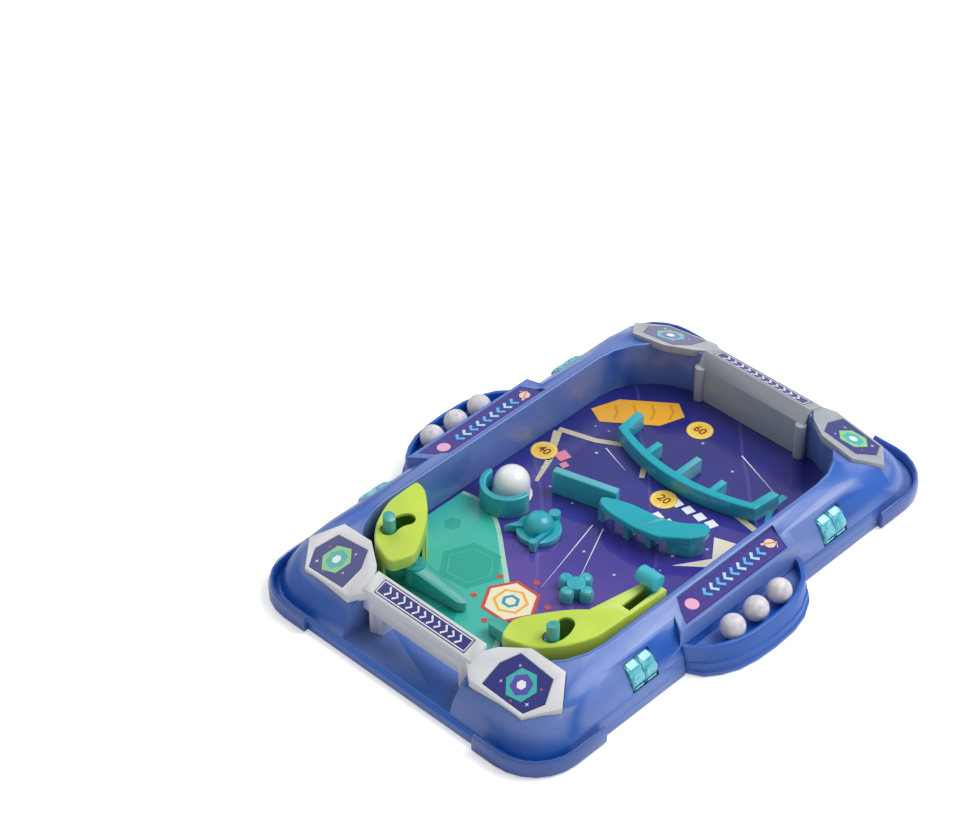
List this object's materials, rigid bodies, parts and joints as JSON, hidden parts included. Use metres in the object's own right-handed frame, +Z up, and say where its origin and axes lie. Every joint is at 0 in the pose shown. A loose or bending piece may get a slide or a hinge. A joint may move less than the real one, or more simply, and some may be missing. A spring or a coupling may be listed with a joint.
{
  "type": "tabletop pinball game",
  "caption": "Tabletop pinball game: tray with a play field, finger-peg flippers, launch plunger, score wheels and side pockets that hold the balls.",
  "frame": {"origin": "centre of the footprint on the table", "axes": "+Z up, +Y to the rear of the game, the player at -Y"},
  "size_m": [0.2838, 0.3748, 0.0524],
  "materials": {
    "tray_blue": "satin",
    "bumper_blue": "glossy",
    "pan_dark_blue": "matte",
    "printed_sheet": "glossy print",
    "bridge_grey": "satin",
    "printed_label": "gloss laminated print",
    "cover_lime": "satin",
    "steel": "bright",
    "teal": "satin",
    "dome_white": "glossy",
    "foot_rubber": "matte",
    "flipper_teal": "satin",
    "wheel_cyan": "translucent",
    "ball_pearl": "pearl"
  },
  "bodies": {
    "tray": {"top_frame": "tray_blue", "base_pan": "pan_dark_blue", "playfield_sheet": "printed_sheet", "front_bridge": "bridge_grey", "rear_bridge": "bridge_grey", "ball_pocket_left": "tray_blue", "ball_pocket_right": "tray_blue", "deck_label_left": "printed_label", "deck_label_right": "printed_label", "front_bar_label": "printed_label", "rear_bar_label": "printed_label", "front_left_pad_label": "printed_label", "front_right_pad_label": "printed_label", "rear_left_pad_label": "printed_label", "rear_right_pad_label": "printed_label", "corner_bumper_front_left": "bumper_blue", "corner_bumper_front_right": "bumper_blue", "corner_bumper_rear_left": "bumper_blue", "corner_bumper_rear_right": "bumper_blue", "flipper_cover_left": "cover_lime", "flipper_cover_right": "cover_lime", "flipper_pivot_left": "steel", "flipper_pivot_right": "steel", "ball_cup": "teal", "bell_dome": "dome_white", "straight_barrier": "teal", "arched_rail": "teal", "comb_rail": "teal", "ringed_bumper": "teal", "star_bumper": "teal", "foot_1": "foot_rubber", "foot_2": "foot_rubber", "foot_3": "foot_rubber", "foot_4": "foot_rubber", "pan_screw_1": "steel", "pan_screw_2": "steel", "pan_screw_3": "steel", "pan_screw_4": "steel", "counter_axle_left_front": "steel", "counter_axle_left_rear": "steel", "counter_axle_right_front": "steel", "counter_axle_right_rear": "steel"},
    "left_flipper": {"flipper_left": "flipper_teal"},
    "right_flipper": {"flipper_right": "flipper_teal"},
    "plunger": {"launch_plunger": "teal", "plunger_spring": "steel"},
    "body_score_wheel_left_front_tens": {"score_wheel_left_front_tens": "wheel_cyan"},
    "body_score_wheel_left_front_ones": {"score_wheel_left_front_ones": "wheel_cyan"},
    "body_score_wheel_left_rear_tens": {"score_wheel_left_rear_tens": "wheel_cyan"},
    "body_score_wheel_left_rear_ones": {"score_wheel_left_rear_ones": "wheel_cyan"},
    "body_score_wheel_right_front_tens": {"score_wheel_right_front_tens": "wheel_cyan"},
    "body_score_wheel_right_front_ones": {"score_wheel_right_front_ones": "wheel_cyan"},
    "body_score_wheel_right_rear_tens": {"score_wheel_right_rear_tens": "wheel_cyan"},
    "body_score_wheel_right_rear_ones": {"score_wheel_right_rear_ones": "wheel_cyan"},
    "body_ball_left_front": {"ball_left_front": "ball_pearl"},
    "body_ball_left_middle": {"ball_left_middle": "ball_pearl"},
    "body_ball_left_rear": {"ball_left_rear": "ball_pearl"},
    "body_ball_right_front": {"ball_right_front": "ball_pearl"},
    "body_ball_right_middle": {"ball_right_middle": "ball_pearl"},
    "body_ball_right_rear": {"ball_right_rear": "ball_pearl"}
  },
  "joints": [
    {"name": "left_flipper_pivot", "type": "hinge", "parent": "tray", "child": "left_flipper", "pos_m": [-0.051, -0.112, 0.0042], "axis": [0, 0, 1], "range_deg": [-42, 0]},
    {"name": "right_flipper_pivot", "type": "hinge", "parent": "tray", "child": "right_flipper", "pos_m": [0.051, -0.112, 0.0042], "axis": [0, 0, 1], "range_deg": [0, 42]},
    {"name": "plunger_slide", "type": "slide", "parent": "tray", "child": "plunger", "axis": [0, -1, 0], "range_m": [0, 0.014], "stiffness_N_per_m": 60, "springref_m": -0.01},
    {"name": "score_wheel_left_front_tens_spin", "type": "hinge", "parent": "tray", "child": "body_score_wheel_left_front_tens", "pos_m": [-0.1043, -0.0934, 0.019], "axis": [0, 1, 0], "continuous": true},
    {"name": "score_wheel_left_front_ones_spin", "type": "hinge", "parent": "tray", "child": "body_score_wheel_left_front_ones", "pos_m": [-0.1043, -0.0826, 0.019], "axis": [0, 1, 0], "continuous": true},
    {"name": "score_wheel_left_rear_tens_spin", "type": "hinge", "parent": "tray", "child": "body_score_wheel_left_rear_tens", "pos_m": [-0.1043, 0.0826, 0.019], "axis": [0, 1, 0], "continuous": true},
    {"name": "score_wheel_left_rear_ones_spin", "type": "hinge", "parent": "tray", "child": "body_score_wheel_left_rear_ones", "pos_m": [-0.1043, 0.0934, 0.019], "axis": [0, 1, 0], "continuous": true},
    {"name": "score_wheel_right_front_tens_spin", "type": "hinge", "parent": "tray", "child": "body_score_wheel_right_front_tens", "pos_m": [0.1043, -0.0934, 0.019], "axis": [0, 1, 0], "continuous": true},
    {"name": "score_wheel_right_front_ones_spin", "type": "hinge", "parent": "tray", "child": "body_score_wheel_right_front_ones", "pos_m": [0.1043, -0.0826, 0.019], "axis": [0, 1, 0], "continuous": true},
    {"name": "score_wheel_right_rear_tens_spin", "type": "hinge", "parent": "tray", "child": "body_score_wheel_right_rear_tens", "pos_m": [0.1043, 0.0826, 0.019], "axis": [0, 1, 0], "continuous": true},
    {"name": "score_wheel_right_rear_ones_spin", "type": "hinge", "parent": "tray", "child": "body_score_wheel_right_rear_ones", "pos_m": [0.1043, 0.0934, 0.019], "axis": [0, 1, 0], "continuous": true},
    {"name": "ball_left_front_lift", "type": "slide", "parent": "tray", "child": "body_ball_left_front", "axis": [0, 0, 1], "range_m": [0, 0.06]},
    {"name": "ball_left_middle_lift", "type": "slide", "parent": "tray", "child": "body_ball_left_middle", "axis": [0, 0, 1], "range_m": [0, 0.06]},
    {"name": "ball_left_rear_lift", "type": "slide", "parent": "tray", "child": "body_ball_left_rear", "axis": [0, 0, 1], "range_m": [0, 0.06]},
    {"name": "ball_right_front_lift", "type": "slide", "parent": "tray", "child": "body_ball_right_front", "axis": [0, 0, 1], "range_m": [0, 0.06]},
    {"name": "ball_right_middle_lift", "type": "slide", "parent": "tray", "child": "body_ball_right_middle", "axis": [0, 0, 1], "range_m": [0, 0.06]},
    {"name": "ball_right_rear_lift", "type": "slide", "parent": "tray", "child": "body_ball_right_rear", "axis": [0, 0, 1], "range_m": [0, 0.06]}
  ]
}
